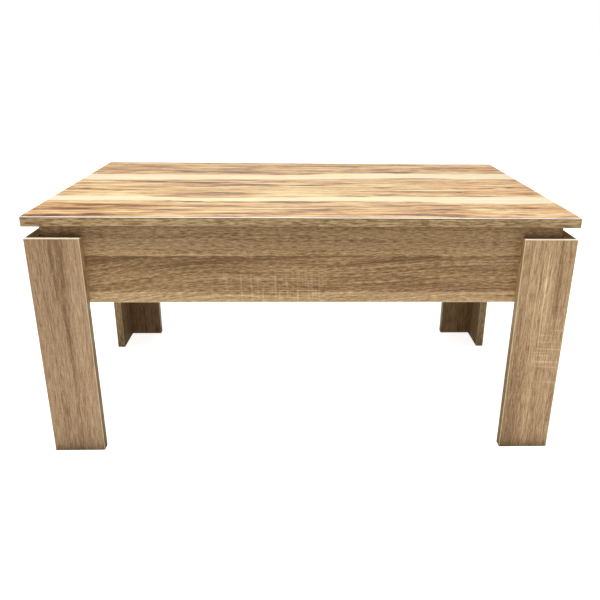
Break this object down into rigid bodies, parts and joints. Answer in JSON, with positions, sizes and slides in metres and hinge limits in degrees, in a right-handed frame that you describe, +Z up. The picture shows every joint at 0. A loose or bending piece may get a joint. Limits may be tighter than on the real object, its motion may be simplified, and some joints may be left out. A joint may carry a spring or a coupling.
{
  "type": "lift top coffee table",
  "caption": "Coffee table with a thin laminated top that lifts and moves forward on parallelogram hinges, over a storage box held by L-shaped board legs.",
  "frame": {"origin": "on the floor under the centre of the closed top", "axes": "+X along the top to the right, +Y to the back, +Z up; the top lifts towards -Y"},
  "size_m": [1, 0.6, 0.48],
  "materials": {
    "laminate_top": "printed multi-strip wood laminate, satin",
    "oak_board": "light oak melamine with saw marks, matt",
    "oak_edge_band": "light oak edge band, matt",
    "zinc_steel": "bright zinc plating",
    "black_steel": "black powder coat",
    "spring_steel": "oiled spring steel",
    "beech": "plain fluted beech",
    "nylon": "natural nylon"
  },
  "bodies": {
    "box": {"front_apron": "oak_board", "rear_apron": "oak_board", "left_side_panel": "oak_board", "right_side_panel": "oak_board", "bottom_panel": "oak_board", "box_edge_bands": "oak_edge_band", "front_left_leg_face_board": "oak_board", "front_left_leg_side_board": "oak_board", "front_left_leg_edge_bands": "oak_edge_band", "front_right_leg_face_board": "oak_board", "front_right_leg_side_board": "oak_board", "front_right_leg_edge_bands": "oak_edge_band", "rear_left_leg_face_board": "oak_board", "rear_left_leg_side_board": "oak_board", "rear_left_leg_edge_bands": "oak_edge_band", "rear_right_leg_face_board": "oak_board", "rear_right_leg_side_board": "oak_board", "rear_right_leg_edge_bands": "oak_edge_band", "leg_cam_locks": "zinc_steel", "leg_cam_bolts": "zinc_steel", "leg_dowels": "beech", "leg_bolts": "zinc_steel", "leg_bolt_washers": "zinc_steel", "leg_bolt_inserts": "zinc_steel", "box_cam_locks": "zinc_steel", "box_cam_bolts": "zinc_steel", "box_dowels": "beech", "bumper_pads": "nylon", "left_base_bracket": "black_steel", "right_base_bracket": "black_steel", "base_pivot_pins": "zinc_steel", "base_pivot_washers": "nylon", "stop_pins": "zinc_steel", "left_lift_spring": "spring_steel", "right_lift_spring": "spring_steel", "base_bracket_screws": "zinc_steel"},
    "top": {"top_board": "laminate_top", "top_front_edge_band": "oak_edge_band", "top_rear_edge_band": "oak_edge_band", "top_left_edge_band": "oak_edge_band", "top_right_edge_band": "oak_edge_band", "left_top_bracket": "black_steel", "right_top_bracket": "black_steel", "top_pivot_pins": "zinc_steel", "top_pivot_washers": "nylon", "top_bracket_screws": "zinc_steel"},
    "left_rear_arm": {"left_rear_arm": "black_steel"},
    "right_rear_arm": {"right_rear_arm": "black_steel"},
    "left_front_arm": {"left_front_arm": "black_steel"},
    "right_front_arm": {"right_front_arm": "black_steel"}
  },
  "joints": [
    {"name": "lift", "type": "hinge", "parent": "box", "child": "left_rear_arm", "pos_m": [-0.452, -0.06, 0.375], "axis": [1, 0, 0], "range_deg": [0, 110], "deforming": ["left_lift_spring"]},
    {"name": "top_level", "type": "hinge", "parent": "left_rear_arm", "child": "top", "pos_m": [-0.452, 0.17869, 0.40009], "axis": [1, 0, 0], "range_deg": [-110, 0]},
    {"name": "right_rear_arm_swing", "type": "hinge", "parent": "box", "child": "right_rear_arm", "pos_m": [0.452, -0.06, 0.375], "axis": [1, 0, 0], "range_deg": [0, 110], "deforming": ["right_lift_spring"]},
    {"name": "left_front_arm_swing", "type": "hinge", "parent": "box", "child": "left_front_arm", "pos_m": [-0.452, -0.11196, 0.405], "axis": [1, 0, 0], "range_deg": [0, 110]},
    {"name": "right_front_arm_swing", "type": "hinge", "parent": "box", "child": "right_front_arm", "pos_m": [0.452, -0.11196, 0.405], "axis": [1, 0, 0], "range_deg": [0, 110]}
  ],
  "couplings": [
    {"joint": "top_level", "follows": "lift", "ratio": -1},
    {"joint": "right_rear_arm_swing", "follows": "lift", "ratio": 1},
    {"joint": "left_front_arm_swing", "follows": "lift", "ratio": 1},
    {"joint": "right_front_arm_swing", "follows": "lift", "ratio": 1}
  ]
}
